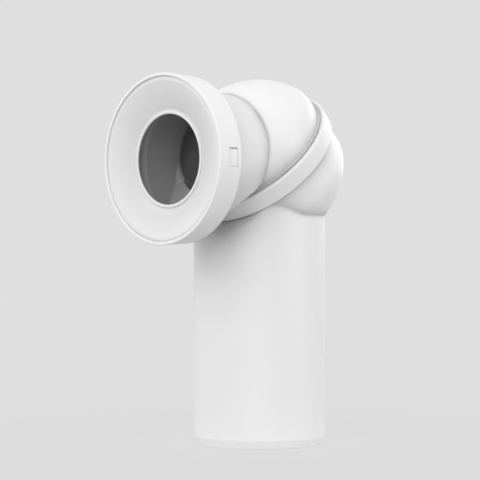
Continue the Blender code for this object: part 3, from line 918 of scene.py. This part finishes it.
def finish(name, surface, grey, roughness, swing, grain, relief, draw_lines):
    """A material of the shared surface group with its own values."""
    material = bpy.data.materials.new(name)
    material.use_nodes = True
    nodes, links = material.node_tree.nodes, material.node_tree.links
    shader = nodes["Principled BSDF"]
    group = nodes.new("ShaderNodeGroup")
    group.node_tree = surface
    group.inputs["Colour"].default_value = opaque_grey(grey)
    group.inputs["Mottle Colour"].default_value = opaque_grey(MOTTLE_SHADE * grey)
    group.inputs["Worn Colour"].default_value = opaque_grey(WORN_SHADE * grey)
    group.inputs["Bore Colour"].default_value = opaque_grey(BORE_SHADE_GREY)
    # Painted shade: the darker grey shown in crevices where shadow falls
    group.inputs["Dust Colour"].default_value = opaque_grey(PAINTED_SHADE_GREY * grey)
    group.inputs["Grain Scale"].default_value = grain
    group.inputs["Roughness"].default_value = roughness
    group.inputs["Roughness Swing"].default_value = swing
    group.inputs["Draw Lines"].default_value = draw_lines
    for mask in ("edge", "bore", "dust"):
        attribute = nodes.new("ShaderNodeAttribute")
        attribute.attribute_name = mask
        links.new(attribute.outputs["Fac"], group.inputs[mask.capitalize()])
    bump = nodes.new("ShaderNodeBump")
    bump.inputs["Strength"].default_value = RELIEF_STRENGTH
    bump.inputs["Distance"].default_value = relief
    links.new(group.outputs["Height"], bump.inputs["Height"])
    links.new(group.outputs["Colour"], shader.inputs["Base Color"])
    links.new(group.outputs["Roughness"], shader.inputs["Roughness"])
    links.new(bump.outputs["Normal"], shader.inputs["Normal"])
    return material


# Stage

def seen_by_eye(tree):
    """A factor of 1 for camera, glossy and transmission rays, and 0 for light on the object."""
    path = tree.nodes.new("ShaderNodeLightPath").outputs
    seen = link_math(tree, "MAXIMUM", path["Is Camera Ray"], path["Is Glossy Ray"])
    return link_math(tree, "MAXIMUM", seen, path["Is Transmission Ray"])


def background():
    """Grey to the eye, and an even soft light on the object."""
    world = bpy.data.worlds.new("studio")
    bpy.context.scene.world = world
    world.use_nodes = True
    tree = world.node_tree
    shown = tree.nodes["Background"]
    shown.inputs["Color"].default_value = opaque_grey(BACKGROUND)
    lit = tree.nodes.new("ShaderNodeBackground")
    lit.inputs["Color"].default_value = opaque_grey(WORLD_LIGHT)
    mix = tree.nodes.new("ShaderNodeMixShader")
    tree.links.new(seen_by_eye(tree), mix.inputs["Fac"])
    tree.links.new(lit.outputs["Background"], mix.inputs[1])
    tree.links.new(shown.outputs["Background"], mix.inputs[2])
    tree.links.new(mix.outputs["Shader"], tree.nodes["World Output"].inputs["Surface"])


def floor_finish():
    """Floor that the eye sees in the background's grey, with a share of its true shading near the object.

    Its own grey goes evenly from a pale one under the object to a darker one at the near reach.
    """
    material = bpy.data.materials.new("pale_floor")
    material.use_nodes = True
    tree = material.node_tree
    diffuse = tree.nodes["Principled BSDF"]
    diffuse.inputs["Roughness"].default_value = 1.0
    diffuse.inputs["Specular IOR Level"].default_value = 0.0
    glow = tree.nodes.new("ShaderNodeEmission")
    glow.inputs["Color"].default_value = opaque_grey(BACKGROUND)
    place = tree.nodes.new("ShaderNodeTexCoord").outputs["Object"]
    away = tree.nodes.new("ShaderNodeVectorMath")
    away.operation = "LENGTH"
    tree.links.new(place, away.inputs[0])
    pale = tree.nodes.new("ShaderNodeMapRange")
    pale.inputs["From Max"].default_value = NEAR_REACH
    pale.inputs["To Min"].default_value = NEAR_GREY
    pale.inputs["To Max"].default_value = FLOOR_GREY
    tree.links.new(away.outputs["Value"], pale.inputs["Value"])
    tree.links.new(pale.outputs["Result"], diffuse.inputs["Base Color"])
    fade = tree.nodes.new("ShaderNodeMapRange")
    fade.interpolation_type = "SMOOTHSTEP"
    fade.inputs["From Min"].default_value = SHADOW_FADE[0]
    fade.inputs["From Max"].default_value = SHADOW_FADE[1]
    fade.inputs["To Min"].default_value = 1.0 - SHADOW_SHARE
    fade.inputs["To Max"].default_value = 1.0
    tree.links.new(away.outputs["Value"], fade.inputs["Value"])
    hidden = link_math(tree, "MULTIPLY", fade.outputs["Result"], seen_by_eye(tree))
    mix = tree.nodes.new("ShaderNodeMixShader")
    tree.links.new(hidden, mix.inputs["Fac"])
    tree.links.new(diffuse.outputs["BSDF"], mix.inputs[1])
    tree.links.new(glow.outputs["Emission"], mix.inputs[2])
    tree.links.new(mix.outputs["Shader"], tree.nodes["Material Output"].inputs["Surface"])
    return material


def studio_floor(material):
    """A wide disc just under the pipe's end: one face on a ring of evenly spaced points."""
    angles = even_angles(FLOOR_SIDES)[0]
    height = np.full_like(angles, cad_low.z - FLOOR_GAP)
    rim = np.stack((FLOOR_RADIUS * np.cos(angles), FLOOR_RADIUS * np.sin(angles), height), axis=-1)
    mesh = bpy.data.meshes.new("studio_floor")
    mesh.from_pydata(rim.tolist(), [], [list(range(len(rim)))])
    mesh.materials.append(material)
    floor = bpy.data.objects.new("studio_floor", mesh)
    bpy.context.scene.collection.objects.link(floor)


def soft_lamp(name, place, size, power, target):
    """A square lamp that faces a target."""
    lamp = bpy.data.lights.new(name, "AREA")
    lamp.shape = "SQUARE"
    lamp.size = size
    lamp.energy = power
    holder = bpy.data.objects.new(name, lamp)
    holder.location = place
    holder.rotation_euler = (Vector(target) - Vector(place)).to_track_quat("-Z", "Y").to_euler()
    bpy.context.scene.collection.objects.link(holder)


def studio_camera():
    """The photograph's level view."""
    lens = bpy.data.cameras.new("camera")
    lens.lens = CAMERA_LENS
    lens.sensor_width = SENSOR_WIDTH
    lens.clip_end = CAMERA_FAR
    camera = bpy.data.objects.new("camera", lens)
    camera.location = CAMERA_PLACE
    camera.rotation_euler = Vector(CAMERA_LOOK).to_track_quat("-Z", "Y").to_euler()
    bpy.context.scene.collection.objects.link(camera)
    bpy.context.scene.camera = camera


def main():
    """Finishes, pieces and stage."""
    surface = moulded_surface()
    finishes = {name: finish(name, surface, *values) for name, values in FINISHES.items()}

    outlet_moulding(finishes["outlet_white"])
    collar_band(finishes["collar_white"])
    inlet_moulding(finishes["dome_white"])
    snap_lugs(finishes["ring_white"])
    joint_ring(finishes["ring_rubber"])
    soft_seal(finishes["seal_soft"])
    clamp_shell(finishes["ring_white"])

    background()
    studio_floor(floor_finish())
    target = CENTRE * (1.0, 1.0, AIM_SHARE)
    for name, (place, size, power) in LAMPS.items():
        soft_lamp(name, place, size, power, target)
    studio_camera()
    bpy.context.scene.view_settings.view_transform = "Standard"


main()
